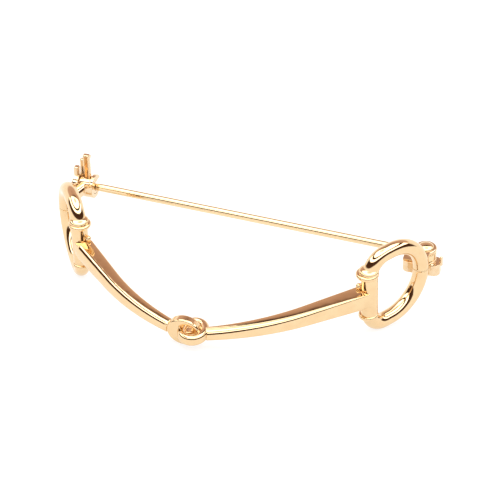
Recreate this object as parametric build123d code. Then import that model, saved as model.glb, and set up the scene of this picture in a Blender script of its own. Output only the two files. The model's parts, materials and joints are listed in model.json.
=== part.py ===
from build123d import *
from math import atan2, cos, degrees, radians, sin, sqrt, tan
import os

# Stock pin shaped as a jointed D-ring bit. Sizes in millimetres, angles in degrees.
# It is modelled upright: X runs along the pin wire from catch to hinge, the wire lies on the +Y side,
# the bow bulges towards -Y and the bars of the two rings stand along Z. At the end it is tipped forward
# onto the three points that it rests on.

# D rings
bar_spacing = 60.8
ring_splay = 56.5
ring_wire = 3.15
ring_height = 16.55
ring_rise = 0.2
ring_straight = 5.3
ring_corner = 3.9

# Ribbed sleeves round the bars
sleeve_diameter = 3.45
rib_diameter = 4.6
rib_thickness = 0.9
lower_rib_diameter = 4.0
upper_rib_height = 5.5
lower_rib_height = -4.7
knob_diameter = 4.0
knob_thickness = 1.0
rib_round = 0.35
rib_proud = 0.1

# Arms of the bow
arm_angle = 42.85
arm_end_angle = 21.05
bow_radius = 53.75
arm_small_end = 2.23
arm_large_end = 3.65
arm_small_corner = 0.55
arm_large_corner = 0.38
arm_stations = 7
shoulder_gap = 0.15
neck_size = 3.3
bead_diameter = 1.25
bead_along = 0.05
bead_forward = 0.85
bead_rise = 0.5

# Linked eyes in the middle
link_reach = 3.2
upright_eye_shift = 1.1
upright_eye_length = 6.8
upright_eye_height = 6.1
upright_eye_depth = 2.0
upright_hole_length = 2.6
upright_hole_height = 1.5
upright_hole_shift = 0.7
upright_hole_rise = 1.1
flat_eye_shift = 0.7
flat_eye_length = 6.2
flat_eye_depth = 7.1
flat_eye_band = 1.65
eye_round = 0.3
shoulder_step = 1.1
upright_neck_height = 2.0
upright_neck_depth = 1.9
link_neck_size = 1.15

# Pin wire
pin_wire = 1.6
pin_eye_diameter = 4.3
pin_eye_thickness = 1.72
pin_eye_height = 0.6
pin_root_reach = 2.6
pin_root_width = 1.9
point_length = 6.0
point_tip = 0.3
point_overhang = 0.3

# Hinge
hinge_outboard = 0.0
hinge_gap = 0.35
rivet_wire = 1.3
rivet_clearance = 0.05
rivet_head = 3.2
rivet_head_height = 0.6
rivet_seat_gap = 0.02
head_round_share = 0.8
ear_diameter = 4.4
ear_thickness = 0.72
ear_play = 0.08
block_inboard = 4.6
block_outboard = 3.1
block_depth = 3.4
block_height = 2.5
block_corner_share = 0.4
block_round = 0.5
foot_width = 2.4
stop_outboard = 3.2
stop_diameter = 0.65
stop_height = 1.5
stop_round_share = 0.45
nub_diameter = 1.2
nub_offset = 1.6
swing_range = 75.0

# Catch
catch_inboard = 5.3
catch_setback = 4.3
catch_height = 2.0
catch_length = 4.6
housing_diameter = 5.0
outer_bearing = 1.25
inner_bearing = 0.8
shell_start = 60.0
shell_end = 200.0
slot_width = 2.0
lug_height = 4.4
lug_width = 1.15
lug_thickness = 1.3
lug_round_share = 0.4
catch_foot_diameter = 3.2
sleeve_wall = 0.55
sleeve_running_gap = 0.06
sleeve_side_gap = 0.12
collar_diameter = 4.0
tab_reach = 7.8
tab_width = 2.2
tab_step_width = 0.8
tab_step_height = 1.25
tab_thickness = 1.1
tab_round_share = 0.35
tab_curl = 0.8
turn_range = 90.0

# How closely the resting angle is worked out
pitch_tolerance = 0.001

half_spacing = bar_spacing / 2
half_height = ring_height / 2
ring_reach = ring_straight + half_height
ring_outer_x = half_spacing + ring_reach * cos(radians(ring_splay))
ring_back_y = ring_reach * sin(radians(ring_splay)) + ring_wire / 2

# The bow: an arc at the middle that runs on into a straight arm, aimed at the bar's line
turn_x = link_reach + bow_radius * (sin(radians(arm_angle)) - sin(radians(arm_end_angle)))
turn_y = -(half_spacing - turn_x) * tan(radians(arm_angle))


def bow_point(x):
    """Depth and slope of the bow's centreline at a distance x from the middle."""
    if x >= turn_x:
        return turn_y + (x - turn_x) * tan(radians(arm_angle)), arm_angle
    sine = sin(radians(arm_angle)) - (turn_x - x) / bow_radius
    cosine = sqrt(1 - sine * sine)
    return turn_y - bow_radius * (cosine - cos(radians(arm_angle))), degrees(atan2(sine, cosine))


link_y = bow_point(link_reach)[0]

# Pin line, from the hinge's rivet to the middle of the catch
hinge_point = Vector(
    ring_outer_x + hinge_outboard, ring_back_y + pin_eye_diameter / 2 + hinge_gap, pin_eye_height
)
catch_point = Vector(-half_spacing - catch_inboard, ring_back_y + catch_setback, catch_height)


def arm(start_x):
    """One arm on the right, a square with rounded corners that tapers from the link to its shoulder."""
    shoulder = sleeve_diameter / 2 + shoulder_gap
    end_x = half_spacing - shoulder * cos(radians(arm_angle))
    sections = []
    for i in range(arm_stations):
        x = start_x + (end_x - start_x) * i / (arm_stations - 1)
        y, slope = bow_point(x)
        share = (x - link_reach) / (end_x - link_reach)
        size = arm_small_end + (arm_large_end - arm_small_end) * share
        along = Vector(cos(radians(slope)), sin(radians(slope)), 0)
        across = Vector(sin(radians(slope)), -cos(radians(slope)), 0)
        station = Plane(origin=(x, y, 0), x_dir=across, z_dir=along)
        corner = arm_small_corner + (arm_large_corner - arm_small_corner) * share
        sections.append(station * RectangleRounded(size, size, corner))
    return loft(sections)


def arm_neck():
    """Short neck that carries the arm's shoulder into the sleeve, and the bead on its upper corner."""
    along = Vector(cos(radians(arm_angle)), sin(radians(arm_angle)), 0)
    across = Vector(-sin(radians(arm_angle)), cos(radians(arm_angle)), 0)
    bar = Vector(half_spacing, 0, 0)
    shoulder = bar - along * (sleeve_diameter / 2 + shoulder_gap)
    neck_plane = Plane(origin=bar, x_dir=across, z_dir=along)
    neck_length = sleeve_diameter / 2 + shoulder_gap + neck_size / 2
    neck = neck_plane * Pos(0, 0, -neck_length / 2) * Box(neck_size, neck_size, neck_length)
    side = arm_large_end / 2
    seat = shoulder + along * bead_along + across * (side - bead_forward)
    bead = Pos(seat.X, seat.Y, side + bead_rise) * Sphere(bead_diameter / 2)
    return neck + bead


def d_ring():
    """Right ring: round wire along a D whose straight side is the bar."""
    corner_start = (ring_straight, ring_rise + half_height)
    corner_end = (ring_straight, ring_rise - half_height)
    bar_top = (0, ring_rise + half_height)
    bar_bottom = (0, ring_rise - half_height)
    bend = FilletPolyline(corner_start, bar_top, bar_bottom, corner_end, radius=ring_corner)
    bow = ThreePointArc(corner_end, (ring_reach, ring_rise), corner_start)
    out = Vector(cos(radians(ring_splay)), sin(radians(ring_splay)), 0)
    facing = Vector(sin(radians(ring_splay)), -cos(radians(ring_splay)), 0)
    ring_plane = Plane(origin=(half_spacing, 0, 0), x_dir=out, z_dir=facing)
    path = ring_plane * Wire([*bend.edges(), *bow.edges()])
    start = Plane(origin=path @ 0, z_dir=path % 0)
    return sweep(start * Circle(ring_wire / 2), path)


def rounded_disc(diameter, thickness):
    disc = Cylinder(diameter / 2, thickness)
    return fillet(disc.edges().filter_by(GeomType.CIRCLE), rib_round)


def sleeve():
    """Right sleeve with a rib at each end and a knob on top, nearly flush on the side away from the arm."""
    length = upper_rib_height - lower_rib_height
    middle = (upper_rib_height + lower_rib_height) / 2
    shape = Pos(half_spacing, 0, middle) * Cylinder(sleeve_diameter / 2, length)
    knob_height = upper_rib_height + (rib_thickness + knob_thickness) / 2
    for diameter, thickness, height in (
        (rib_diameter, rib_thickness, upper_rib_height),
        (lower_rib_diameter, rib_thickness, lower_rib_height),
        (knob_diameter, knob_thickness, knob_height),
    ):
        overhang = (diameter - sleeve_diameter) / 2 - rib_proud
        x = half_spacing - overhang * cos(radians(arm_angle))
        y = -overhang * sin(radians(arm_angle))
        shape += Pos(x, y, height) * rounded_disc(diameter, thickness)
    return shape


def linked_eyes():
    """The upright eye of the left arm through the flat eye of the right arm, cast together."""
    upright_outline = Ellipse(upright_eye_length / 2, upright_eye_height / 2)
    upright_hole = Ellipse(upright_hole_length / 2, upright_hole_height / 2)
    upright_face = upright_outline - Pos(upright_hole_shift, upright_hole_rise) * upright_hole
    upright = extrude(Plane.XZ * upright_face, upright_eye_depth / 2, both=True)
    upright = Pos(-upright_eye_shift, link_y, 0) * fillet(upright.edges(), eye_round)
    flat_outline = Ellipse(flat_eye_length / 2, flat_eye_depth / 2)
    flat_hole = Ellipse(flat_eye_length / 2 - flat_eye_band, flat_eye_depth / 2 - flat_eye_band)
    flat = extrude(flat_outline - flat_hole, arm_small_end / 2, both=True)
    flat = Pos(flat_eye_shift, link_y, 0) * fillet(flat.edges(), eye_round)
    return upright + flat


def upright_eye_neck():
    """Plain neck from the left arm's square shoulder into the end of the upright eye."""
    start_x = link_reach + shoulder_step
    hole_end = upright_eye_shift - upright_hole_shift + upright_hole_length / 2
    eye_end = (upright_eye_shift + upright_eye_length / 2 + hole_end) / 2
    start = Vector(-start_x, bow_point(start_x)[0], 0)
    reach = Vector(-eye_end, link_y, 0) - start
    length = reach.length + shoulder_step
    neck = Pos(0, 0, (reach.length - shoulder_step) / 2) * Box(upright_neck_height, upright_neck_depth, length)
    return Plane(origin=start, x_dir=(0, 0, 1), z_dir=reach.normalized()) * neck


def flat_eye_neck():
    """The right arm's neck, inside the arm and straight back into the end band of the flat eye."""
    band_middle = flat_eye_shift + (flat_eye_length - flat_eye_band) / 2
    length = link_reach + link_neck_size / 2 - band_middle
    neck = Box(length, link_neck_size, link_neck_size)
    return Pos(band_middle + length / 2, link_y, 0) * neck


def hinge_bracket():
    """Lower block, two ears and the foot soldered to the right ring; bored for the rivet."""
    block_top = hinge_point.Z - pin_eye_thickness / 2 - ear_play - ear_thickness
    block = Box(block_inboard + block_outboard, block_depth, block_height)
    block = fillet(block.edges().filter_by(Axis.Z), block_depth * block_corner_share)
    block = fillet(block.edges().group_by(Axis.Z)[0], block_round)
    centre_x = hinge_point.X + (block_outboard - block_inboard) / 2
    shape = Pos(centre_x, hinge_point.Y, block_top - block_height / 2) * block
    ear_level = pin_eye_thickness / 2 + ear_play + ear_thickness / 2
    root_depth = hinge_point.Y - ring_back_y + ring_wire / 2
    for level in (-ear_level, ear_level):
        ear = Cylinder(ear_diameter / 2, ear_thickness)
        ear += Pos(0, -root_depth / 2, 0) * Box(foot_width, root_depth, ear_thickness)
        shape += Pos(hinge_point.X, hinge_point.Y, hinge_point.Z + level) * ear
    foot_depth = root_depth - pin_eye_diameter / 2 - ear_play
    foot_front = ring_back_y - ring_wire / 2
    foot_top = hinge_point.Z + ear_level
    foot_bottom = block_top - block_height + block_round
    foot = Box(foot_width, foot_depth, foot_top - foot_bottom)
    shape += Pos(hinge_point.X, foot_front + foot_depth / 2, (foot_top + foot_bottom) / 2) * foot
    block_foot = Box(foot_width, root_depth, block_top - foot_bottom)
    shape += Pos(hinge_point.X, foot_front + root_depth / 2, (block_top + foot_bottom) / 2) * block_foot
    stop_level = block_top + (stop_height - stop_diameter) / 2
    shape += Pos(hinge_point.X + stop_outboard, hinge_point.Y, stop_level) * stop_pin()
    nub = Sphere(nub_diameter / 2)
    shape += Pos(hinge_point.X + nub_offset, hinge_point.Y - nub_offset, block_top) * nub
    bore = Cylinder(rivet_wire / 2 + rivet_clearance, 2 * ear_level + 2 * ear_thickness)
    return shape - Pos(hinge_point.X, hinge_point.Y, hinge_point.Z) * bore


def stop_pin():
    """Small round-topped prong at the outer end of the block."""
    post = Cylinder(stop_diameter / 2, stop_height + stop_diameter)
    return fillet(post.edges().group_by(Axis.Z)[-1], stop_diameter * stop_round_share)


def hinge_rivet():
    """Rivet through both ears and the pin's eye, headed on top and seated in the block's bore."""
    ear_level = pin_eye_thickness / 2 + ear_play + ear_thickness
    shank_length = 2 * ear_level + rivet_seat_gap
    shank = Pos(0, 0, rivet_seat_gap / 2) * Cylinder(rivet_wire / 2, shank_length)
    head = Cylinder(rivet_head / 2, rivet_head_height)
    head = fillet(head.edges().group_by(Axis.Z)[-1], rivet_head_height * head_round_share)
    rivet = shank + Pos(0, 0, ear_level + rivet_seat_gap + rivet_head_height / 2) * head
    return Pos(hinge_point.X, hinge_point.Y, hinge_point.Z) * rivet


def pin_stem():
    """Straight wire, flattened at the root into an eye round the rivet, with a long ground point."""
    reach = catch_point - hinge_point
    line = reach.normalized()
    point_end = reach.length + catch_length / 2 + point_overhang
    wire_end = point_end - point_length
    start = Plane(origin=hinge_point, z_dir=line)
    wire = start * Pos(0, 0, wire_end / 2) * Cylinder(pin_wire / 2, wire_end)
    tip = Cone(pin_wire / 2, point_tip / 2, point_length)
    tip = start * Pos(0, 0, wire_end + point_length / 2) * tip
    eye = Cylinder(pin_eye_diameter / 2, pin_eye_thickness)
    eye = fillet(eye.edges(), eye_round)
    root = Pos(-pin_root_reach / 2, 0, 0) * Box(pin_root_reach, pin_root_width, pin_eye_thickness)
    bore = Cylinder(rivet_wire / 2 + rivet_clearance, 2 * pin_eye_thickness)
    at_hinge = Pos(hinge_point.X, hinge_point.Y, hinge_point.Z)
    return wire + tip + at_hinge * (eye + root) - at_hinge * bore


# The catch's window lies between its two bearings, the thumb tab's collar turns in it
window_width = catch_length - outer_bearing - inner_bearing
window_shift = (outer_bearing - inner_bearing) / 2
sleeve_outer = slot_width / 2 + sleeve_wall


def along_catch(shape):
    """Lay a shape modelled about Z along the catch's axis, its +X pointing up and its +Y to the front."""
    return Plane(origin=catch_point, x_dir=(0, 0, 1), z_dir=(1, 0, 0)) * shape


def catch_foot():
    """Round foot that leans from the left ring's wire to the catch."""
    reach = ring_straight + sqrt(half_height**2 - (catch_point.Z - ring_rise) ** 2)
    ring_x = -half_spacing - reach * cos(radians(ring_splay))
    start = Vector(ring_x, reach * sin(radians(ring_splay)), catch_point.Z)
    lean = catch_point - start
    foot = Pos(0, 0, lean.length / 2) * Cylinder(catch_foot_diameter / 2, lean.length)
    return Plane(origin=start, z_dir=lean.normalized()) * foot


def catch_housing():
    """Two bearings open at the back, a shell between them in front and below, a foot and a lug."""
    shape = Cylinder(housing_diameter / 2, catch_length)
    shape -= Pos(0, 0, window_shift) * Cylinder(housing_diameter, window_width)
    shell = Cylinder(housing_diameter / 2, window_width, arc_size=shell_end - shell_start)
    shape += Pos(0, 0, window_shift) * Rot(Z=shell_start) * shell
    shape = along_catch(shape) + catch_foot()
    lug = Box(lug_width, lug_thickness, lug_height)
    lug = fillet(lug.edges().group_by(Axis.Z)[-1], lug_width * lug_round_share)
    lug_x = catch_point.X - (catch_length - lug_width) / 2
    shape += Pos(lug_x, catch_point.Y, catch_point.Z + lug_height / 2) * lug
    collar_room = Cylinder(collar_diameter / 2 + sleeve_side_gap, window_width)
    shape -= along_catch(Pos(0, 0, window_shift) * collar_room)
    shape -= along_catch(Cylinder(sleeve_outer + sleeve_running_gap, 2 * catch_length))
    opening = Box(2 * catch_length, housing_diameter, slot_width)
    return shape - Pos(catch_point.X, catch_point.Y + housing_diameter / 2, catch_point.Z) * opening


def catch_sleeve():
    """Slotted sleeve with a collar between the bearings and a thumb tab, drawn unlocked."""
    collar = Cylinder(collar_diameter / 2, window_width - 2 * sleeve_side_gap)
    shape = Cylinder(sleeve_outer, catch_length) + Pos(0, 0, window_shift) * collar
    shape = along_catch(shape - Cylinder(slot_width / 2, 2 * catch_length))
    slot = Box(2 * catch_length, collar_diameter, slot_width)
    shape -= Pos(catch_point.X, catch_point.Y + collar_diameter / 2, catch_point.Z) * slot
    root = slot_width / 2 + sleeve_wall / 2
    leaf_width = tab_width - tab_step_width
    leaf = Box(leaf_width, tab_thickness, tab_reach - root)
    leaf = fillet(leaf.edges().group_by(Axis.Z)[-1].filter_by(Axis.Y), leaf_width * tab_round_share)
    tab = Pos(tab_step_width / 2, 0, (tab_reach + root) / 2) * leaf
    step_top = tab_reach - tab_step_height
    step = Box(tab_width, tab_thickness, step_top - root)
    step = fillet(step.edges().group_by(Axis.Z)[-1].filter_by(Axis.Y), leaf_width * tab_round_share)
    tab += Pos(0, 0, (step_top + root) / 2) * step
    curl = Rot(Y=90) * Cylinder(tab_curl / 2, leaf_width)
    curl = Pos(tab_step_width / 2, tab_thickness / 2, tab_reach - tab_curl) * curl
    return shape + Pos(catch_point.X + window_shift, catch_point.Y, catch_point.Z) * (tab + curl)


def both_sides(shape):
    return [shape, mirror(shape, about=Plane.YZ)]


def lowest(shape, pitch):
    return (Rot(X=pitch) * shape).bounding_box().min.Z


def resting_pitch():
    """Forward tip at which the rings' lower corners and the linked eyes touch one plane."""
    rings = d_ring()
    eyes = linked_eyes()
    low, high = 0.0, 45.0
    while high - low > pitch_tolerance:
        pitch = (low + high) / 2
        if lowest(eyes, pitch) > lowest(rings, pitch):
            low = pitch
        else:
            high = pitch
    return (low + high) / 2


def casting():
    """Rings, sleeves, arms, linked eyes and both fittings as one solid."""
    halves = both_sides(d_ring()) + both_sides(sleeve()) + both_sides(arm_neck())
    halves.append(arm(link_reach))
    halves.append(mirror(arm(link_reach + shoulder_step), about=Plane.YZ))
    shape = linked_eyes()
    for piece in [*halves, upright_eye_neck(), flat_eye_neck(), hinge_bracket(), catch_housing()]:
        shape += piece
    return shape


pitch = resting_pitch()
pieces = {
    "bit_casting": casting(),
    "pin_stem": pin_stem(),
    "hinge_rivet": hinge_rivet(),
    "catch_sleeve": catch_sleeve(),
}
tipped = {name: Rot(X=pitch) * shape for name, shape in pieces.items()}
boxes = [shape.bounding_box() for shape in tipped.values()]
left_end = min(box.min.X for box in boxes)
right_end = max(box.max.X for box in boxes)
front = min(box.min.Y for box in boxes)
back = max(box.max.Y for box in boxes)
floor = min(box.min.Z for box in boxes)
shift = Vector(-(left_end + right_end) / 2, -(front + back) / 2, -floor)


def settled(point):
    """Where a point of the upright pin lies once it rests on its three points."""
    turned = point.rotate(Axis.X, pitch)
    return turned + shift


hinge_centre = settled(hinge_point)
hinge_axis = Vector(0, 0, -1).rotate(Axis.X, pitch)
catch_centre = settled(catch_point)
catch_axis = Vector(-1, 0, 0)

os.makedirs("parts", exist_ok=True)
for name, shape in tipped.items():
    export_step(Pos(shift.X, shift.Y, shift.Z) * shape, f"parts/{name}.step")
print("forward pitch", round(pitch, 3), "shift", shift)
print("hinge", hinge_centre, hinge_axis, "0 to", swing_range)
print("catch", catch_centre, catch_axis, "0 to", turn_range)
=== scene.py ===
import json
import math
import bmesh
import bpy
from mathutils import Matrix, Vector


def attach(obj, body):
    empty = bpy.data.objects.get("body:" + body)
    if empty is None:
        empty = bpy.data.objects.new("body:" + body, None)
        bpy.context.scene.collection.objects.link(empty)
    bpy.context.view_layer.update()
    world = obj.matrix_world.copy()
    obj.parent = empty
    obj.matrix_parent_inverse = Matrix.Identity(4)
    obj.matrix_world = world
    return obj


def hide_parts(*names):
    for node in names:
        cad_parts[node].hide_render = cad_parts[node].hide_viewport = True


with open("model.json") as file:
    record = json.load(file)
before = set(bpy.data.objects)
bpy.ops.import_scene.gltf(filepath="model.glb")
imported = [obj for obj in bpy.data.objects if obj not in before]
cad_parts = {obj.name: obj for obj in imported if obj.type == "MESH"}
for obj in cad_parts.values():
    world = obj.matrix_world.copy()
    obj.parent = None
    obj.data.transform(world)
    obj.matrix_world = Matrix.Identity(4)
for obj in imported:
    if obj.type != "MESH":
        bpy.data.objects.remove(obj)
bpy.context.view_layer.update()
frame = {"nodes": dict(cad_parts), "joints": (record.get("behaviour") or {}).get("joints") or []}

print("frame loaded:", sorted(frame["nodes"]))

# Sizes are in millimetres and stand upright: X along the pin wire, the wire on +Y, the ring bars along Z.
# settle lays a finished mesh down on its three resting points, in metres.
ring = {
    "barSpacing": 60.8, "splay": 56.5, "wire": 3.15, "height": 16.55, "rise": 0.2,
    "straight": 5.3, "corner": 3.9, "pathStep": 0.2, "wireSides": 72,
}
halfSpacing = ring["barSpacing"] / 2
ringHalf = ring["height"] / 2
ringReach = ring["straight"] + ringHalf
splay = math.radians(ring["splay"])
ringBackY = ringReach * math.sin(splay) + ring["wire"] / 2

hinge = {
    "outboard": 0.0, "gap": 0.35, "eyeDiameter": 4.3, "eyeThickness": 1.72, "eyeHeight": 0.6, "bore": 1.4,
}
hingeAt = Vector((
    halfSpacing + ringReach * math.cos(splay) + hinge["outboard"],
    ringBackY + hinge["eyeDiameter"] / 2 + hinge["gap"],
    hinge["eyeHeight"],
))
catch = {
    "inboard": 5.3, "setback": 4.3, "height": 2.0, "length": 4.6, "outerBearing": 1.25, "innerBearing": 0.8,
    "slot": 2.0, "sleeveWall": 0.55, "collar": 4.0, "runningGap": 0.06, "sideGap": 0.12,
}
catchAt = Vector((-halfSpacing - catch["inboard"], ringBackY + catch["setback"], catch["height"]))

joints = {joint["name"]: joint for joint in frame["joints"]}
swing = joints["pin_swing"]
pitch = math.atan2(swing["axis"][1], -swing["axis"][2])
tip = Matrix.Rotation(pitch, 4, "X")
shift = Vector(swing["pos_m"]) * 1000 - tip @ hingeAt
settle = Matrix.Scale(0.001, 4) @ Matrix.Translation(shift) @ tip
print("tipped forward by", round(math.degrees(pitch), 2), "degrees, shift", [round(v, 3) for v in shift])


# Materials

def hexColour(text):  # sRGB hex to the linear values a shader socket takes
    channels = [int(text[i:i + 2], 16) / 255 for i in (1, 3, 5)]
    linear = [c / 12.92 if c <= 0.04045 else ((c + 0.055) / 1.055) ** 2.4 for c in channels]
    return (*linear, 1.0)


def addNode(tree, kind, settings=None, **links):  # settings: properties or socket values; links: sockets
    node = tree.nodes.new(kind)
    for key, value in (settings or {}).items():
        if key in node.inputs:
            node.inputs[key].default_value = value
        else:
            setattr(node, key, value)
    for key, socket in links.items():
        tree.links.new(socket, node.inputs[key.replace("_", " ")])
    return node


def goldPlate(name, finish):  # electroplated gold over brass; how the metal was worked shows in the gloss
    material = bpy.data.materials.new(name)
    material.use_nodes = True
    tree = material.node_tree
    shader = tree.nodes["Principled BSDF"]
    shader.inputs["Metallic"].default_value = 1.0
    place = addNode(tree, "ShaderNodeTexCoord")
    perMetre = 1000.0
    low, high = 0.35, 0.65  # the noise values between which one patch of the finish fades into the next
    wear = addNode(tree, "ShaderNodeTexNoise", {"Scale": perMetre / finish["wearSize"], "Detail": 3.0},
                   Vector=place.outputs["Object"])
    polish = addNode(tree, "ShaderNodeMapRange", {
        "From Min": low, "From Max": high, "To Min": finish["roughLow"], "To Max": finish["roughHigh"],
    }, Value=wear.outputs["Fac"])
    tint = addNode(tree, "ShaderNodeValToRGB", Fac=wear.outputs["Fac"])
    tint.color_ramp.elements[0].position, tint.color_ramp.elements[1].position = low, high
    tint.color_ramp.elements[0].color = hexColour(finish["colourDeep"])
    tint.color_ramp.elements[1].color = hexColour(finish["colour"])
    wave = addNode(tree, "ShaderNodeTexNoise", {"Scale": perMetre / finish["waveSize"], "Detail": 1.0},
                   Vector=place.outputs["Object"])
    relief = addNode(tree, "ShaderNodeBump", {"Strength": 1.0, "Distance": finish["waveDepth"] / perMetre},
                     Height=wave.outputs["Fac"])
    tree.links.new(tint.outputs["Color"], shader.inputs["Base Color"])
    tree.links.new(polish.outputs["Result"], shader.inputs["Roughness"])
    tree.links.new(relief.outputs["Normal"], shader.inputs["Normal"])
    return material


castGold = goldPlate("gold plate on tumble-polished cast brass", {  # soft ripples left under a high polish
    "colour": "#EDCFA3", "colourDeep": "#E9C99C", "wearSize": 2.5, "roughLow": 0.05, "roughHigh": 0.09,
    "waveSize": 2.5, "waveDepth": 0.042,
})
wireGold = goldPlate("gold plate on drawn wire", {  # drawn smooth, so reflections run straight
    "colour": "#EFD5AB", "colourDeep": "#EBCFA3", "wearSize": 1.2, "roughLow": 0.06, "roughHigh": 0.1,
    "waveSize": 4.0, "waveDepth": 0.003,
})
fittingGold = goldPlate("gold plate on stamped fittings", {  # a little duller, in small patches
    "colour": "#ECD2AE", "colourDeep": "#E7C9A1", "wearSize": 0.8, "roughLow": 0.08, "roughHigh": 0.16,
    "waveSize": 1.2, "waveDepth": 0.01,
})
print("materials made")


# Geometry Nodes trees

def newTree(name, sockets):
    tree = bpy.data.node_groups.new(name, "GeometryNodeTree")
    tree.interface.new_socket("Geometry", in_out="INPUT", socket_type="NodeSocketGeometry")
    for label, kind in sockets:
        tree.interface.new_socket(label, in_out="INPUT", socket_type=kind)
    tree.interface.new_socket("Geometry", in_out="OUTPUT", socket_type="NodeSocketGeometry")
    return tree, addNode(tree, "NodeGroupInput"), addNode(tree, "NodeGroupOutput")


def closeTree(tree, source, given, out):  # every tree ends in realized instances with their material
    smooth = addNode(tree, "GeometryNodeSetShadeSmooth", Geometry=source)
    realized = addNode(tree, "GeometryNodeRealizeInstances", Geometry=smooth.outputs["Geometry"])
    dressed = addNode(tree, "GeometryNodeSetMaterial", Geometry=realized.outputs["Geometry"],
                      Material=given.outputs["Material"])
    tree.links.new(dressed.outputs["Geometry"], out.inputs["Geometry"])
    return tree


def makeSweepTree():  # a profile carried along the path, scaled by the path's own "size" attribute
    tree, given, out = newTree("sweep along path", [
        ("Profile", "NodeSocketObject"), ("Material", "NodeSocketMaterial"),
    ])
    path = addNode(tree, "GeometryNodeMeshToCurve", Mesh=given.outputs["Geometry"])
    profile = addNode(tree, "GeometryNodeObjectInfo", Object=given.outputs["Profile"])
    outline = addNode(tree, "GeometryNodeMeshToCurve", Mesh=profile.outputs["Geometry"])
    size = addNode(tree, "GeometryNodeInputNamedAttribute", {"data_type": "FLOAT", "Name": "size"})
    upright = addNode(tree, "GeometryNodeSetCurveNormal", {"mode": "Z_UP"}, Curve=path.outputs["Curve"])
    swept = addNode(tree, "GeometryNodeCurveToMesh", {"Fill Caps": True}, Curve=upright.outputs["Curve"],
                    Profile_Curve=outline.outputs["Curve"], Scale=size.outputs["Attribute"])
    return closeTree(tree, swept.outputs["Mesh"], given, out)


def makeBlendTree():  # two profiles swept along the same path, mixed by the path's "blend" attribute
    tree, given, out = newTree("blended sweep along path", [
        ("Start Profile", "NodeSocketObject"), ("End Profile", "NodeSocketObject"),
        ("Material", "NodeSocketMaterial"),
    ])
    path = addNode(tree, "GeometryNodeMeshToCurve", Mesh=given.outputs["Geometry"])
    size = addNode(tree, "GeometryNodeInputNamedAttribute", {"data_type": "FLOAT", "Name": "size"})
    blend = addNode(tree, "GeometryNodeInputNamedAttribute", {"data_type": "FLOAT", "Name": "blend"})
    upright = addNode(tree, "GeometryNodeSetCurveNormal", {"mode": "Z_UP"}, Curve=path.outputs["Curve"])
    swept = []
    for label in ("Start Profile", "End Profile"):
        profile = addNode(tree, "GeometryNodeObjectInfo", Object=given.outputs[label])
        outline = addNode(tree, "GeometryNodeMeshToCurve", Mesh=profile.outputs["Geometry"])
        swept.append(addNode(tree, "GeometryNodeCurveToMesh", {"Fill Caps": True},
                             Curve=upright.outputs["Curve"], Profile_Curve=outline.outputs["Curve"],
                             Scale=size.outputs["Attribute"]))
    where = addNode(tree, "GeometryNodeInputPosition")
    index = addNode(tree, "GeometryNodeInputIndex")
    other = addNode(tree, "GeometryNodeSampleIndex", {"data_type": "FLOAT_VECTOR"},
                    Geometry=swept[1].outputs["Mesh"], Value=where.outputs["Position"],
                    Index=index.outputs["Index"])
    mixed = addNode(tree, "ShaderNodeMix", {"data_type": "VECTOR"})  # its sockets share names, so by number
    tree.links.new(blend.outputs["Attribute"], mixed.inputs[0])
    tree.links.new(where.outputs["Position"], mixed.inputs[4])
    tree.links.new(other.outputs["Value"], mixed.inputs[5])
    moved = addNode(tree, "GeometryNodeSetPosition", Geometry=swept[0].outputs["Mesh"],
                    Position=mixed.outputs[1])
    return closeTree(tree, moved.outputs["Geometry"], given, out)


def makeScatterTree():  # one shape set on each point, scaled by the point's "size" attribute
    tree, given, out = newTree("shape on each seat", [
        ("Shape", "NodeSocketObject"), ("Material", "NodeSocketMaterial"),
    ])
    shape = addNode(tree, "GeometryNodeObjectInfo", Object=given.outputs["Shape"])
    size = addNode(tree, "GeometryNodeInputNamedAttribute", {"data_type": "FLOAT_VECTOR", "Name": "size"})
    placed = addNode(tree, "GeometryNodeInstanceOnPoints", Points=given.outputs["Geometry"],
                     Instance=shape.outputs["Geometry"], Scale=size.outputs["Attribute"])
    return closeTree(tree, placed.outputs["Instances"], given, out)


# Mesh helpers, all in upright millimetres

def meshObject(name, points, edges=(), faces=()):
    mesh = bpy.data.meshes.new(name)
    mesh.from_pydata([tuple(p) for p in points], list(edges), list(faces))
    mesh.update()
    thing = bpy.data.objects.new(name, mesh)
    bpy.context.scene.collection.objects.link(thing)
    return thing


def setSizes(thing, sizes, name="size"):
    vector = hasattr(sizes[0], "__len__")
    attribute = thing.data.attributes.new(name, "FLOAT_VECTOR" if vector else "FLOAT", "POINT")
    flat = [v for size in sizes for v in size] if vector else list(sizes)
    attribute.data.foreach_set("vector" if vector else "value", flat)


def baked(thing):  # the evaluated result as a plain mesh object, with no modifier left
    bpy.context.view_layer.update()
    evaluated = thing.evaluated_get(bpy.context.evaluated_depsgraph_get())
    mesh = bpy.data.meshes.new_from_object(evaluated)
    mesh.name = thing.name
    thing.modifiers.clear()
    thing.data = mesh
    return thing


def throughTree(thing, tree, **values):
    modifier = thing.modifiers.new(tree.name, "NODES")
    modifier.node_group = tree
    for item in tree.interface.items_tree:
        if item.item_type == "SOCKET" and item.in_out == "INPUT" and item.name in values:
            modifier[item.identifier] = values[item.name]
    return baked(thing)


def pathObject(name, points, sizes, closed=False):
    edges = [(i, i + 1) for i in range(len(points) - 1)]
    if closed:
        edges.append((len(points) - 1, 0))
    thing = meshObject(name, points, edges)
    setSizes(thing, sizes)
    return thing


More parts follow.
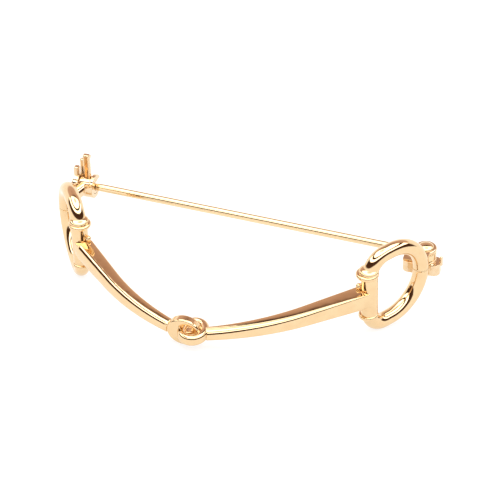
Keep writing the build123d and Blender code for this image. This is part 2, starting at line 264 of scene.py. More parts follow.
def turned(name, profile, sides, centre=(0, 0, 0), axis="Z"):  # profile: (radius, height), from the bottom up
    points, faces, rings = [], [], []
    for radius, height in profile:
        if radius < 1e-6:
            rings.append([len(points)])
            points.append((0, 0, height))
        else:
            rings.append(list(range(len(points), len(points) + sides)))
            for i in range(sides):
                angle = 2 * math.pi * i / sides
                points.append((radius * math.cos(angle), radius * math.sin(angle), height))
    for low, high in zip(rings, rings[1:]):
        for i in range(sides):
            j = (i + 1) % sides
            corners = [low[i % len(low)], low[j % len(low)], high[j % len(high)], high[i % len(high)]]
            faces.append(list(dict.fromkeys(corners)))
    if len(rings[0]) > 1:
        faces.append(rings[0][::-1])
    if len(rings[-1]) > 1:
        faces.append(rings[-1])
    thing = meshObject(name, points, faces=faces)
    turn = {"Z": Matrix.Identity(4), "X": Matrix.Rotation(math.pi / 2, 4, "Y")}[axis]
    thing.data.transform(Matrix.Translation(centre) @ turn)
    return thing


def roundedDisc(radius, thickness, rounding, steps=6):  # half profile of a disc with rounded rims
    points = [(0.0, -thickness / 2)]
    level = thickness / 2 - rounding
    for side in (-1, 1):
        for i in range(steps + 1):
            angle = math.pi / 2 * i / steps
            if side < 0:
                out, up = math.sin(angle), -math.cos(angle)
            else:
                out, up = math.cos(angle), math.sin(angle)
            points.append((radius - rounding + rounding * out, side * level + rounding * up))
    points.append((0.0, thickness / 2))
    return points


def domeProfile(radius, low, rise, step):  # half profile of a dome, from its rim to its top
    angles = [math.radians(degrees) for degrees in range(0, 90, step)]
    return [(radius * math.cos(a), low + rise * math.sin(a)) for a in angles] + [(0, low + rise)]


def ballProfile(radius, steps):  # half profile of a ball
    angles = [math.pi * i / steps for i in range(steps + 1)]
    return [(radius * math.sin(a), -radius * math.cos(a)) for a in angles]


def block(name, size, centre=(0, 0, 0)):
    mesh = bmesh.new()
    bmesh.ops.create_cube(mesh, size=1.0)
    bmesh.ops.scale(mesh, vec=size, verts=mesh.verts)
    bmesh.ops.translate(mesh, vec=centre, verts=mesh.verts)
    data = bpy.data.meshes.new(name)
    mesh.to_mesh(data)
    mesh.free()
    thing = bpy.data.objects.new(name, data)
    bpy.context.scene.collection.objects.link(thing)
    return thing


def rod(name, start, end, radius, sides=64):  # straight round bar between two points
    start, end = Vector(start), Vector(end)
    along = end - start
    thing = turned(name, [(radius, 0), (radius, along.length)], sides)
    thing.data.transform(Matrix.Translation(start) @ along.to_track_quat("Z", "Y").to_matrix().to_4x4())
    return thing


def joined(name, things):
    mesh = bmesh.new()
    for thing in things:
        mesh.from_mesh(thing.data)
    data = bpy.data.meshes.new(name)
    mesh.to_mesh(data)
    mesh.free()
    for thing in things:
        bpy.data.objects.remove(thing)
    result = bpy.data.objects.new(name, data)
    bpy.context.scene.collection.objects.link(result)
    return result


def beveled(thing, width, segments=3, angle=40):
    bevel = thing.modifiers.new("bevel", "BEVEL")
    bevel.width = width
    bevel.segments = segments
    bevel.limit_method = "ANGLE"
    bevel.angle_limit = math.radians(angle)
    return baked(thing)


def fused(thing, voxel):  # overlapping solids become one closed skin
    remesh = thing.modifiers.new("fuse", "REMESH")
    remesh.mode = "VOXEL"
    remesh.voxel_size = voxel
    remesh.use_smooth_shade = True
    return baked(thing)


def cutBy(thing, cutter):
    cut = thing.modifiers.new("cut", "BOOLEAN")
    cut.operation = "DIFFERENCE"
    cut.solver = "EXACT"
    cut.object = cutter
    baked(thing)
    bpy.data.objects.remove(cutter)
    return thing


def softened(thing, rounds):  # polishing rounds the fused skin's corners
    smooth = thing.modifiers.new("polish", "SMOOTH")
    smooth.factor = 0.5
    smooth.iterations = rounds
    return baked(thing)


def finished(thing, material, body, node, sharp=None):
    mesh = bmesh.new()
    mesh.from_mesh(thing.data)
    bmesh.ops.remove_doubles(mesh, verts=mesh.verts, dist=1e-5)
    bmesh.ops.recalc_face_normals(mesh, faces=mesh.faces)
    mesh.to_mesh(thing.data)
    mesh.free()
    thing.data.transform(settle)
    thing.data.shade_smooth()
    if sharp is not None:
        thing.data.set_sharp_from_angle(angle=math.radians(sharp))
    thing.data.materials.clear()
    thing.data.materials.append(material)
    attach(thing, body)
    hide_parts(node)
    return thing


sweepTree = makeSweepTree()
blendTree = makeBlendTree()
scatterTree = makeScatterTree()


def circleProfile(sides):  # unit diameter, so a path's size is its wire's diameter
    angles = [2 * math.pi * i / sides for i in range(sides)]
    points = [(math.cos(a) / 2, math.sin(a) / 2, 0) for a in angles]
    return meshObject("round profile", points, [(i, (i + 1) % sides) for i in range(sides)])


def squareProfile(corners, crown, cornerSteps, faceSteps):  # unit square, a radius a corner, crowned faces
    points = []
    for quarter in range(4):
        turn = Matrix.Rotation(quarter * math.pi / 2, 3, "Z")
        corner, following = corners[quarter], corners[(quarter + 1) % 4]
        flat = 0.5 - corner
        for i in range(cornerSteps + 1):
            angle = math.pi / 2 * i / cornerSteps
            x, y = flat + corner * math.cos(angle), flat + corner * math.sin(angle)
            points.append(turn @ Vector((x, y, 0)))
        for i in range(1, faceSteps):
            share = i / faceSteps
            x, y = flat + (following - 0.5 - flat) * share, 0.5 + crown * 4 * share * (1 - share)
            points.append(turn @ Vector((x, y, 0)))
    scale = 0.5 / (0.5 + crown)
    return meshObject("square profile", [p * scale for p in points],
                      [(i, (i + 1) % len(points)) for i in range(len(points))])


roundProfile = circleProfile(ring["wireSides"])


# D rings

def arcPoints(centre, radius, start, end):
    count = max(2, round(abs(math.radians(end - start)) * radius / ring["pathStep"]))
    turns = [math.radians(start + (end - start) * i / count) for i in range(count)]
    return [(centre[0] + radius * math.cos(a), centre[1] + radius * math.sin(a)) for a in turns]


def linePoints(start, end):
    count = max(1, round(math.dist(start, end) / ring["pathStep"]))
    return [tuple(a + (b - a) * i / count for a, b in zip(start, end)) for i in range(count)]


def ringPath(side):
    top, low, corner = ring["rise"] + ringHalf, ring["rise"] - ringHalf, ring["corner"]
    outline = linePoints((0, low + corner), (0, top - corner))
    outline += arcPoints((corner, top - corner), corner, 180, 90)
    outline += linePoints((corner, top), (ring["straight"], top))
    outline += arcPoints((ring["straight"], ring["rise"]), ringHalf, 90, -90)
    outline += linePoints((ring["straight"], low), (corner, low))
    outline += arcPoints((corner, low + corner), corner, -90, -180)
    return [(side * (halfSpacing + r * math.cos(splay)), r * math.sin(splay), z) for r, z in outline]


for label, side in (("right", 1), ("left", -1)):
    path = ringPath(side)
    wire = pathObject("ring_" + label, path, [ring["wire"]] * len(path), closed=True)
    throughTree(wire, sweepTree, Profile=roundProfile, Material=castGold)
    finished(wire, castGold, "casting", "bit_casting")
print("rings made")


# Bow and its linked eyes

bow = {
    "angle": 42.85, "endAngle": 21.05, "radius": 53.75, "smallEnd": 2.23, "largeEnd": 3.65,
    "smallCorner": 0.55, "largeCorner": 0.38, "crown": 0.012, "cornerSteps": 16, "faceSteps": 12,
    "stations": 160, "endBevel": 0.16, "shoulderGap": 0.15, "linkReach": 3.2, "shoulderStep": 1.1,
    "topFront": {"right": (1.45, 0.32), "left": (1.1, 1.6)},  # the filed edge, from the link to the shoulder
}
sleeve = {
    "diameter": 3.45, "rib": 4.6, "lowRib": 4.0, "ribThickness": 0.9, "upperRib": 5.5, "lowerRib": -4.7,
    "knob": 4.0, "knobThickness": 1.0, "knobEdge": 0.25, "round": 0.42, "proud": 0.1,
    "bead": 1.25, "beadAlong": 0.05, "beadForward": 0.85, "beadRise": 0.5,
    "neck": 3.3, "neckLap": 0.5, "neckMiddle": 1.15, "neckBevel": 0.2,
}
slope = math.radians(bow["angle"])
turnX = bow["linkReach"] + bow["radius"] * (math.sin(slope) - math.sin(math.radians(bow["endAngle"])))
turnY = -(halfSpacing - turnX) * math.tan(slope)


def bowPoint(x):  # the bow's depth at a distance from the middle: an arc that runs on into a straight arm
    if x >= turnX:
        return turnY + (x - turnX) * math.tan(slope)
    sine = math.sin(slope) - (turnX - x) / bow["radius"]
    return turnY - bow["radius"] * (math.sqrt(1 - sine * sine) - math.cos(slope))


shoulderAt = halfSpacing - (sleeve["diameter"] / 2 + bow["shoulderGap"]) * math.cos(slope)
ends = (("Start Profile", "small"), ("End Profile", "large"))
for label, side, step in (("right", 1, 0.0), ("left", -1, bow["shoulderStep"])):
    startX = bow["linkReach"] + step
    profiles = {}
    for (place, end), filed in zip(ends, bow["topFront"][label]):
        corners = [bow[end + "Corner"] / bow[end + "End"]] * 4
        corners[3 if side > 0 else 2] = filed / bow[end + "End"]
        profiles[place] = squareProfile(corners, bow["crown"], bow["cornerSteps"], bow["faceSteps"])
    path, sizes, blends = [], [], []
    for i in range(bow["stations"] + 1):
        x = startX + (shoulderAt - startX) * i / bow["stations"]
        path.append((side * x, bowPoint(x), 0))
        share = (x - bow["linkReach"]) / (shoulderAt - bow["linkReach"])
        sizes.append(bow["smallEnd"] + (bow["largeEnd"] - bow["smallEnd"]) * share)
        blends.append(share)
    arm = pathObject("arm_" + label, path, sizes)
    setSizes(arm, blends, "blend")
    throughTree(arm, blendTree, Material=castGold, **profiles)
    for profile in profiles.values():
        bpy.data.objects.remove(profile)
    beveled(arm, bow["endBevel"], angle=60)
    finished(arm, castGold, "casting", "bit_casting", sharp=50)
print("arms made")

eyes = {
    "uprightShift": 1.1, "uprightLength": 6.8, "uprightHeight": 6.1, "uprightDepth": 2.0,
    "holeLength": 2.6, "holeHeight": 1.5, "holeShift": 0.7, "holeRise": 1.1,
    "flatShift": 0.7, "flatLength": 6.2, "flatDepth": 7.1, "flatBand": 1.65, "bevel": 0.8,
    "neckHeight": 2.0, "neckDepth": 1.9, "neckBevel": 0.5, "tipLap": 0.6, "tipReach": 0.4, "tipShare": 0.45,
    "voxel": 0.075, "polish": 6,
}
linkY = bowPoint(bow["linkReach"])


def ovalEye(name, outer, hole, depth, holeAt=(0, 0), sides=120):  # a flat oval band, lying in XY
    points, faces = [], []
    for level in (-depth / 2, depth / 2):
        for size, at in ((outer, (0, 0)), (hole, holeAt)):
            for i in range(sides):
                angle = 2 * math.pi * i / sides
                x, y = at[0] + size[0] / 2 * math.cos(angle), at[1] + size[1] / 2 * math.sin(angle)
                points.append((x, y, level))
    for i in range(sides):
        j = (i + 1) % sides
        lowOut, lowIn, highOut, highIn = 0, sides, 2 * sides, 3 * sides
        faces.append((lowOut + i, lowOut + j, highOut + j, highOut + i))
        faces.append((lowIn + j, lowIn + i, highIn + i, highIn + j))
        faces.append((highOut + i, highOut + j, highIn + j, highIn + i))
        faces.append((lowOut + j, lowOut + i, lowIn + i, lowIn + j))
    return meshObject(name, points, faces=faces)


uprightEye = ovalEye("upright eye", (eyes["uprightLength"], eyes["uprightHeight"]),
                     (eyes["holeLength"], eyes["holeHeight"]), eyes["uprightDepth"],
                     (eyes["holeShift"], eyes["holeRise"]))
beveled(uprightEye, eyes["bevel"], segments=4)
standing = Matrix.Rotation(math.pi / 2, 4, "X")
uprightEye.data.transform(Matrix.Translation((-eyes["uprightShift"], linkY, 0)) @ standing)
flatEye = ovalEye("flat eye", (eyes["flatLength"], eyes["flatDepth"]),
                  (eyes["flatLength"] - 2 * eyes["flatBand"], eyes["flatDepth"] - 2 * eyes["flatBand"]),
                  bow["smallEnd"])
beveled(flatEye, eyes["bevel"], segments=4)
flatEye.data.transform(Matrix.Translation((eyes["flatShift"], linkY, 0)))
neckStart = bow["linkReach"] + bow["shoulderStep"]
holeEnd = eyes["uprightShift"] - eyes["holeShift"] + eyes["holeLength"] / 2
neckEnd = (eyes["uprightShift"] + eyes["uprightLength"] / 2 + holeEnd) / 2
reach = Vector((neckStart - neckEnd, linkY - bowPoint(neckStart), 0))
linkNeck = block("link neck", (reach.length + bow["shoulderStep"], eyes["neckDepth"], eyes["neckHeight"]))
beveled(linkNeck, eyes["neckBevel"], segments=4)
outward = reach.to_track_quat("X", "Z").to_matrix().to_4x4()
slid = Matrix.Translation(((-reach.length - bow["shoulderStep"]) / 2, 0, 0))
linkNeck.data.transform(Matrix.Translation((-neckEnd, linkY, 0)) @ outward @ slid)
tipStart, tipEnd = bow["linkReach"] - eyes["tipLap"], bow["linkReach"] + eyes["tipReach"]
armTip = rod("arm tip", (tipStart, linkY, 0), (tipEnd, bowPoint(tipEnd), 0),
             bow["smallEnd"] * eyes["tipShare"])
linked = joined("linked_eyes", [uprightEye, flatEye, linkNeck, armTip])
fused(linked, eyes["voxel"])
softened(linked, eyes["polish"])
finished(linked, castGold, "casting", "bit_casting")
print("linked eyes made")


# Ribbed sleeves with their beads

def makeSleeve(label, side):
    away = Vector((-math.cos(slope), -math.sin(slope), 0))  # from the bar towards the arm
    tubeR, low, high = sleeve["diameter"] / 2, sleeve["lowerRib"], sleeve["upperRib"]
    tube = turned("sleeve_" + label, [(0, low), (tubeR, low), (tubeR, high), (0, high)], sides=96,
                  centre=(halfSpacing, 0, 0))
    seats, sizes = [], []
    for diameter, height in ((sleeve["rib"], high), (sleeve["lowRib"], low)):
        lean = away * ((diameter - sleeve["diameter"]) / 2 - sleeve["proud"])
        seats.append((halfSpacing + lean.x, lean.y, height))
        sizes.append((diameter / sleeve["rib"], diameter / sleeve["rib"], 1.0))
    ribLine = roundedDisc(sleeve["rib"] / 2, sleeve["ribThickness"], sleeve["round"])
    shape = turned("rib shape", ribLine, sides=96)
    ribs = meshObject("ribs", seats)
    setSizes(ribs, sizes)
    throughTree(ribs, scatterTree, Shape=shape, Material=castGold)
    bpy.data.objects.remove(shape)
    knobR, knobLow, edge = sleeve["knob"] / 2, high + sleeve["ribThickness"] / 2, sleeve["knobEdge"]
    dome = domeProfile(knobR, knobLow + edge, sleeve["knobThickness"] - edge, step=6)
    lean = away * ((sleeve["knob"] - sleeve["diameter"]) / 2 - sleeve["proud"])
    knob = turned("knob", [(0, knobLow), (knobR, knobLow), *dome], sides=96,
                  centre=(halfSpacing + lean.x, lean.y, 0))
    shoulder = Vector((halfSpacing, 0, 0)) + away * (tubeR + bow["shoulderGap"])
    across = Vector((-math.sin(slope), math.cos(slope), 0))
    seat = shoulder - away * sleeve["beadAlong"] + across * (bow["largeEnd"] / 2 - sleeve["beadForward"])
    bead = turned("bead", ballProfile(sleeve["bead"] / 2, steps=16), sides=48,
                  centre=(seat.x, seat.y, bow["largeEnd"] / 2 + sleeve["beadRise"]))
    neck = block("neck", (tubeR + bow["shoulderGap"] + sleeve["neckLap"], sleeve["neck"], sleeve["neck"]))
    neck.data.transform(Matrix.Rotation(slope, 4, "Z"))
    neck.data.transform(Matrix.Translation(Vector((halfSpacing, 0, 0)) + away * sleeve["neckMiddle"]))
    beveled(neck, sleeve["neckBevel"])
    whole = joined("sleeve_" + label, [tube, ribs, knob, bead, neck])
    if side < 0:
        whole.data.transform(Matrix.Scale(-1, 4, (1, 0, 0)))
    finished(whole, castGold, "casting", "bit_casting", sharp=40)


makeSleeve("right", 1)
makeSleeve("left", -1)
print("sleeves made")


# Hinge: bracket soldered to the right ring, and its rivet

bracket = {
    "earDiameter": 4.4, "earThickness": 0.72, "earRound": 0.3, "earPlay": 0.08,
    "blockInboard": 4.6, "blockOutboard": 3.1, "blockDepth": 3.4, "blockHeight": 2.5, "blockCorner": 1.3,
    "footWidth": 2.4, "footRise": 0.5, "stopOutboard": 3.2, "stopDiameter": 0.65, "stopHeight": 1.5,
    "stopSunk": 0.6, "nubDiameter": 1.2, "nubOffset": 1.6, "voxel": 0.05, "polish": 3,
}
earLow = hinge["eyeThickness"] / 2 + bracket["earPlay"]  # from the eye's middle to the ear's inner face
blockTop = hingeAt.z - earLow - bracket["earThickness"]


def makeBracket():
    inboard, outboard, height = bracket["blockInboard"], bracket["blockOutboard"], bracket["blockHeight"]
    low = block("block", (inboard + outboard, bracket["blockDepth"], height),
                (hingeAt.x + (outboard - inboard) / 2, hingeAt.y, blockTop - height / 2))
    corners = low.modifiers.new("corners", "BEVEL")  # the four upright edges alone
    corners.width = bracket["blockCorner"]
    corners.segments = 8
    corners.limit_method = "WEIGHT"
    weights = low.data.attributes.new("bevel_weight_edge", "FLOAT", "EDGE")
    for i, edge in enumerate(low.data.edges):
        a, b = (low.data.vertices[v].co for v in edge.vertices)
        weights.data[i].value = 1.0 if abs(a.z - b.z) > 0.1 else 0.0
    baked(low)
    parts = [low]
    earThickness, footWidth = bracket["earThickness"], bracket["footWidth"]
    earLevel = earLow + earThickness / 2
    rootDepth = hingeAt.y - ringBackY + ring["wire"] / 2
    for level in (-earLevel, earLevel):
        earLine = roundedDisc(bracket["earDiameter"] / 2, earThickness, bracket["earRound"])
        ear = turned("ear", earLine, sides=96, centre=(hingeAt.x, hingeAt.y, hingeAt.z + level))
        root = block("root", (footWidth, rootDepth, earThickness),
                     (hingeAt.x, hingeAt.y - rootDepth / 2, hingeAt.z + level))
        parts += [ear, root]
    footDepth = rootDepth - hinge["eyeDiameter"] / 2 - bracket["earPlay"]
    footFront = ringBackY - ring["wire"] / 2
    footTop, footLow = hingeAt.z + earLevel, blockTop - height + bracket["footRise"]
    parts.append(block("foot", (footWidth, footDepth, footTop - footLow),
                       (hingeAt.x, footFront + footDepth / 2, (footTop + footLow) / 2)))
    parts.append(block("block foot", (footWidth, rootDepth, blockTop - footLow),
                       (hingeAt.x, footFront + rootDepth / 2, (blockTop + footLow) / 2)))
    stopX, stopR = hingeAt.x + bracket["stopOutboard"], bracket["stopDiameter"] / 2
    stopLow, stopHigh = blockTop - bracket["stopSunk"], blockTop + bracket["stopHeight"] - stopR
    parts.append(rod("stop", (stopX, hingeAt.y, stopLow), (stopX, hingeAt.y, stopHigh), stopR))
    parts.append(turned("stop end", ballProfile(stopR, steps=10), sides=32,
                        centre=(stopX, hingeAt.y, stopHigh)))
    nubX, nubY = hingeAt.x + bracket["nubOffset"], hingeAt.y - bracket["nubOffset"]
    parts.append(turned("nub", ballProfile(bracket["nubDiameter"] / 2, steps=12), sides=40,
                        centre=(nubX, nubY, blockTop)))
    whole = fused(joined("hinge_bracket", parts), bracket["voxel"])
    boreEnd = Vector((0, 0, earLow + 1.5 * earThickness))  # half an ear past the outer faces
    cutBy(whole, rod("bore", hingeAt - boreEnd, hingeAt + boreEnd, hinge["bore"] / 2))
    return softened(whole, bracket["polish"])


finished(makeBracket(), fittingGold, "casting", "bit_casting", sharp=50)

rivet = {"wire": 1.3, "head": 3.2, "headHeight": 0.6, "seatGap": 0.02}
headLow = hingeAt.z + earLow + bracket["earThickness"] + rivet["seatGap"]
shankR = rivet["wire"] / 2
shank = [(0, blockTop), (shankR, blockTop), (shankR, headLow)]
dome = domeProfile(rivet["head"] / 2, headLow, rivet["headHeight"], step=10)
rivetHead = turned("rivet_head", shank + dome, sides=64, centre=(hingeAt.x, hingeAt.y, 0))
finished(rivetHead, wireGold, "casting", "hinge_rivet", sharp=40)
print("hinge made")


# Pin wire

pin = {
    "wire": 1.6, "pointLength": 6.0, "tip": 0.3, "overhang": 0.3, "wireSteps": 40, "pointSteps": 24,
    "eyeRound": 0.3, "rootReach": 2.6, "rootWidth": 1.9, "rootRound": 0.2, "boreReach": 2.0,
}


def makePin():
    reach = catchAt - hingeAt
    line = reach.normalized()
    pointEnd = reach.length + catch["length"] / 2 + pin["overhang"]
    wireEnd = pointEnd - pin["pointLength"]
    stops = [wireEnd * i / pin["wireSteps"] for i in range(pin["wireSteps"] + 1)]
    stops += [wireEnd + pin["pointLength"] * i / pin["pointSteps"] for i in range(1, pin["pointSteps"] + 1)]
    sizes = [pin["wire"] if s <= wireEnd else
             pin["wire"] + (pin["tip"] - pin["wire"]) * (s - wireEnd) / pin["pointLength"] for s in stops]
    wire = pathObject("wire", [hingeAt + line * s for s in stops], sizes)
    throughTree(wire, sweepTree, Profile=roundProfile, Material=wireGold)
    eyeLine = roundedDisc(hinge["eyeDiameter"] / 2, hinge["eyeThickness"], pin["eyeRound"])
    eye = turned("eye", eyeLine, sides=96, centre=hingeAt)
    root = block("root", (pin["rootReach"], pin["rootWidth"], hinge["eyeThickness"]),
                 hingeAt - Vector((pin["rootReach"] / 2, 0, 0)))
    beveled(root, pin["rootRound"], segments=4)
    boreEnd = Vector((0, 0, pin["boreReach"]))
    for piece in (wire, eye, root):
        cutBy(piece, rod("bore", hingeAt - boreEnd, hingeAt + boreEnd, hinge["bore"] / 2))
    return joined("pin_wire", [wire, eye, root])


finished(makePin(), wireGold, "stem", "pin_stem", sharp=40)
print("pin made")


# Catch: housing soldered to the left ring, and the sleeve that turns in it

housing = {
    "diameter": 5.0, "bearingRound": 0.12, "shellStart": 60.0, "shellEnd": 200.0, "shellWall": 0.7,
    "shellLap": 0.4, "foot": 3.2, "lugHeight": 4.4, "lugWidth": 1.15, "lugThickness": 1.3, "lugBevel": 0.3,
    "voxel": 0.05,
}
rotor = {
    "tubeRound": 0.08, "collarRound": 0.12, "tabReach": 7.8, "tabWidth": 2.2, "tabThickness": 1.1,
    "tabBevel": 0.3, "tabCurl": 0.8, "curlRound": 0.15, "stepWidth": 0.8, "stepHeight": 1.25,
    "stepThinner": 0.25, "voxel": 0.045,
}
windowWidth = catch["length"] - catch["outerBearing"] - catch["innerBearing"]
windowX = catchAt.x + (catch["outerBearing"] - catch["innerBearing"]) / 2
sleeveR = catch["slot"] / 2 + catch["sleeveWall"]


def sectorShell(name, outer, inner, width, start, end, centreX):  # angles from straight up towards the front
    steps = 60
    points, faces = [], []
    for x in (-width / 2, width / 2):
        for radius in (inner, outer):
            for i in range(steps + 1):
                angle = math.radians(start + (end - start) * i / steps)
                y, z = catchAt.y - radius * math.sin(angle), catchAt.z + radius * math.cos(angle)
                points.append((centreX + x, y, z))
    row = steps + 1
    lowIn, lowOut, highIn, highOut = 0, row, 2 * row, 3 * row
    for i in range(steps):
        faces += [(lowIn + i, lowIn + i + 1, lowOut + i + 1, lowOut + i),
                  (highIn + i, highOut + i, highOut + i + 1, highIn + i + 1),
                  (lowOut + i, lowOut + i + 1, highOut + i + 1, highOut + i),
                  (lowIn + i + 1, lowIn + i, highIn + i, highIn + i + 1)]
    for i in (0, steps):
        faces.append((lowIn + i, lowOut + i, highOut + i, highIn + i))
    return meshObject(name, points, faces=faces)


def makeHousing():
    outerR = housing["diameter"] / 2
    left, right = catchAt.x - catch["length"] / 2, catchAt.x + catch["length"] / 2
    parts = []
    for start, end in ((left, left + catch["outerBearing"]), (right - catch["innerBearing"], right)):
        parts.append(turned("bearing", roundedDisc(outerR, end - start, housing["bearingRound"]), sides=96,
                            centre=((start + end) / 2, catchAt.y, catchAt.z), axis="X"))
    innerR, shellWidth = outerR - housing["shellWall"], windowWidth + housing["shellLap"]
    parts.append(sectorShell("shell", outerR, innerR, shellWidth, housing["shellStart"], housing["shellEnd"],
                             windowX))
    reach = ring["straight"] + math.sqrt(ringHalf ** 2 - (catchAt.z - ring["rise"]) ** 2)
    footStart = Vector((-halfSpacing - reach * math.cos(splay), reach * math.sin(splay), catchAt.z))
    parts.append(rod("foot", footStart, catchAt, housing["foot"] / 2))
    lug = block("lug", (housing["lugWidth"], housing["lugThickness"], housing["lugHeight"]),
                (left + housing["lugWidth"] / 2, catchAt.y, catchAt.z + housing["lugHeight"] / 2))
    parts.append(beveled(lug, housing["lugBevel"], segments=4))
    whole = fused(joined("catch_housing", parts), housing["voxel"])
    roomStart = (windowX - windowWidth / 2, catchAt.y, catchAt.z)
    roomEnd = (windowX + windowWidth / 2, catchAt.y, catchAt.z)
    cutBy(whole, rod("collar room", roomStart, roomEnd, catch["collar"] / 2 + catch["sideGap"], sides=96))
    long = 2 * catch["length"]
    boreEnd = Vector((long, 0, 0))
    boreR = sleeveR + catch["runningGap"]
    cutBy(whole, rod("running bore", catchAt - boreEnd, catchAt + boreEnd, boreR, sides=96))
    return cutBy(whole, block("opening", (long, housing["diameter"], catch["slot"]),
                              catchAt + Vector((0, housing["diameter"] / 2, 0))))


finished(makeHousing(), fittingGold, "casting", "bit_casting", sharp=35)


def makeRotor():
    tube = turned("tube", roundedDisc(sleeveR, catch["length"], rotor["tubeRound"]), sides=96,
                  centre=catchAt, axis="X")
    collarWidth = windowWidth - 2 * catch["sideGap"]
    collar = turned("collar", roundedDisc(catch["collar"] / 2, collarWidth, rotor["collarRound"]), sides=96,
                    centre=(windowX, catchAt.y, catchAt.z), axis="X")
    reach, thickness = rotor["tabReach"], rotor["tabThickness"]
    root = catch["slot"] / 2 + catch["sleeveWall"] / 2
    leafWidth, leafX = rotor["tabWidth"] - rotor["stepWidth"], windowX + rotor["stepWidth"] / 2
    leaf = block("leaf", (leafWidth, thickness, reach - root),
                 (leafX, catchAt.y, catchAt.z + (reach + root) / 2))
    stepTop = reach - rotor["stepHeight"]
    step = block("step", (rotor["tabWidth"], thickness - rotor["stepThinner"], stepTop - root),
                 (windowX, catchAt.y + rotor["stepThinner"] / 2, catchAt.z + (stepTop + root) / 2))
    beveled(leaf, rotor["tabBevel"], segments=4)
    beveled(step, rotor["tabBevel"], segments=4)
    curl = turned("curl", roundedDisc(rotor["tabCurl"] / 2, leafWidth, rotor["curlRound"]), sides=40,
                  centre=(leafX, catchAt.y + thickness / 2, catchAt.z + reach - rotor["tabCurl"]), axis="X")
    whole = fused(joined("catch_rotor", [tube, collar, leaf, step, curl]), rotor["voxel"])
    long = 2 * catch["length"]
    boreEnd = Vector((long, 0, 0))
    cutBy(whole, rod("bore", catchAt - boreEnd, catchAt + boreEnd, catch["slot"] / 2, sides=96))
    return cutBy(whole, block("slot", (long, catch["collar"], catch["slot"]),
                              catchAt + Vector((0, catch["collar"] / 2, 0))))


finished(makeRotor(), fittingGold, "catch", "catch_sleeve", sharp=35)
print("catch made")

bpy.data.objects.remove(roundProfile)


# Floor, light and camera

stage = {"side": 6.0, "colour": "#8C8C8C", "roughness": 0.9, "glow": 0.78}  # side in metres
half = stage["side"] / 2
floorCorners = [(-half, -half, 0), (half, -half, 0), (half, half, 0), (-half, half, 0)]
floor = meshObject("floor", floorCorners, faces=[(0, 1, 2, 3)])
acrylic = bpy.data.materials.new("white acrylic light table")  # lit from below, so shadows stay faint
acrylic.use_nodes = True
acrylicShader = acrylic.node_tree.nodes["Principled BSDF"]
acrylicShader.inputs["Base Color"].default_value = hexColour(stage["colour"])
acrylicShader.inputs["Roughness"].default_value = stage["roughness"]
acrylicShader.inputs["Emission Color"].default_value = (1, 1, 1, 1)
acrylicShader.inputs["Emission Strength"].default_value = stage["glow"]
floor.data.materials.append(acrylic)

studio = {  # what the polished metal mirrors: height above the horizon in degrees, colour, brightness
    "towardsCamera": (0.317, -0.949, 0.0), "brightest": 4.0, "blendFrom": -0.4, "blendTo": -0.28,
    "cameraSide": ((0, "#FFFFFF", 1.1), (2, "#FFFFFF", 1.1), (5, "#6E4E3C", 0.6), (26, "#5E4030", 0.5),
                   (30, "#FFFFFF", 3.2), (41, "#FFFFFF", 3.2), (44, "#5E4030", 0.4), (50, "#5E4030", 0.4),
                   (53, "#FFFFFF", 3.2), (74, "#FFFFFF", 3.2), (81, "#FFFFFF", 1.2), (90, "#FFFFFF", 1.2)),
    "farSide": ((0, "#FFFFFF", 1.2), (26, "#FFFFFF", 1.2), (33, "#B59A92", 1.6), (46, "#AE9389", 1.7),
                (58, "#9C8074", 1.5), (66, "#4A3A30", 0.5), (73, "#4A3A30", 0.4), (77, "#FFFFFF", 1.2),
                (90, "#FFFFFF", 1.2)),
}


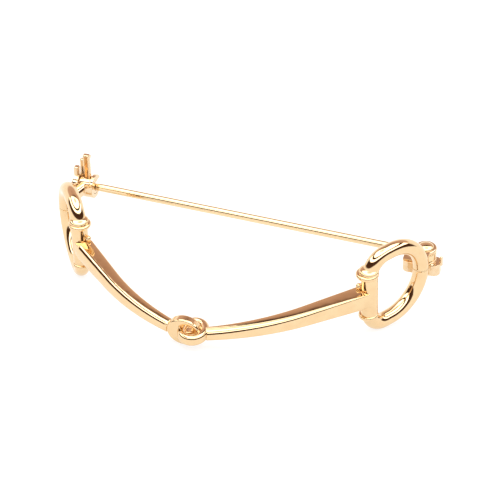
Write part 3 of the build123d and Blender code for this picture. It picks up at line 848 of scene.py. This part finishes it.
def makeStudio():
    world = bpy.data.worlds.new("studio")
    bpy.context.scene.world = world
    world.use_nodes = True
    tree = world.node_tree
    place = addNode(tree, "ShaderNodeTexCoord")
    parts = addNode(tree, "ShaderNodeSeparateXYZ", Vector=place.outputs["Generated"])
    height = addNode(tree, "ShaderNodeMath", {"operation": "ARCSINE"}, Value=parts.outputs["Z"])
    share = addNode(tree, "ShaderNodeMath", {"operation": "DIVIDE"}, Value=height.outputs["Value"])
    share.inputs[1].default_value = math.pi / 2
    facing = addNode(tree, "ShaderNodeVectorMath", {"operation": "DOT_PRODUCT"},
                     Vector=place.outputs["Generated"])
    facing.inputs[1].default_value = studio["towardsCamera"]
    side = addNode(tree, "ShaderNodeMapRange", {
        "From Min": studio["blendFrom"], "From Max": studio["blendTo"],
    }, Value=facing.outputs["Value"])
    blends = []
    for kind in ("RGBA", "FLOAT"):
        blends.append(addNode(tree, "ShaderNodeMix", {"data_type": kind}))
        tree.links.new(side.outputs["Result"], blends[-1].inputs[0])
    for i, key in enumerate(("farSide", "cameraSide")):
        ramp = addNode(tree, "ShaderNodeValToRGB", Fac=share.outputs["Value"])
        stops = ramp.color_ramp.elements
        while len(stops) < len(studio[key]):
            stops.new(0.5)
        for stop, (degrees, colour, level) in zip(stops, studio[key]):
            stop.position = degrees / 90
            stop.color = (*hexColour(colour)[:3], level / studio["brightest"])
        tree.links.new(ramp.outputs["Color"], blends[0].inputs[6 + i])
        tree.links.new(ramp.outputs["Alpha"], blends[1].inputs[2 + i])
    strength = addNode(tree, "ShaderNodeMath", {"operation": "MULTIPLY"}, Value=blends[1].outputs[0])
    strength.inputs[1].default_value = studio["brightest"]
    background = tree.nodes["Background"]
    tree.links.new(blends[0].outputs[2], background.inputs["Color"])
    tree.links.new(strength.outputs["Value"], background.inputs["Strength"])


makeStudio()

shot = {  # the photograph's camera round the upright pin, in degrees and millimetres
    "azimuth": 18.89, "elevation": 37.49, "roll": -1.9, "distance": 446.9,
    "right": -7.66, "up": -8.06, "aimY": -7.1, "sensor": 36.0,
    "focal": 2262.65, "imageSide": 500,  # pixels
    "nearClip": 0.05, "farClip": 20,  # metres
}


def placeCamera():
    azimuth, elevation, roll = (math.radians(shot[key]) for key in ("azimuth", "elevation", "roll"))
    forward = Vector((-math.sin(azimuth) * math.cos(elevation), math.cos(azimuth) * math.cos(elevation),
                      -math.sin(elevation)))
    level = Vector((math.cos(azimuth), math.sin(azimuth), 0))
    up = level.cross(forward)
    rightWay = level * math.cos(roll) + up * math.sin(roll)
    upWay = up * math.cos(roll) - level * math.sin(roll)
    aim = Vector((0, shot["aimY"], 0))
    eye = aim - forward * shot["distance"] - rightWay * shot["right"] - upWay * shot["up"]
    data = bpy.data.cameras.new("camera")
    data.sensor_width = shot["sensor"]
    data.lens = shot["focal"] * shot["sensor"] / shot["imageSide"]
    data.clip_start, data.clip_end = shot["nearClip"], shot["farClip"]
    camera = bpy.data.objects.new("camera", data)
    turn = Matrix((rightWay, upWay, -forward)).transposed().to_4x4()
    camera.matrix_world = Matrix.Translation(settle @ eye) @ tip @ turn
    bpy.context.scene.collection.objects.link(camera)
    bpy.context.scene.camera = camera


placeCamera()
bpy.context.scene.view_settings.view_transform = "Standard"
print("stage set")
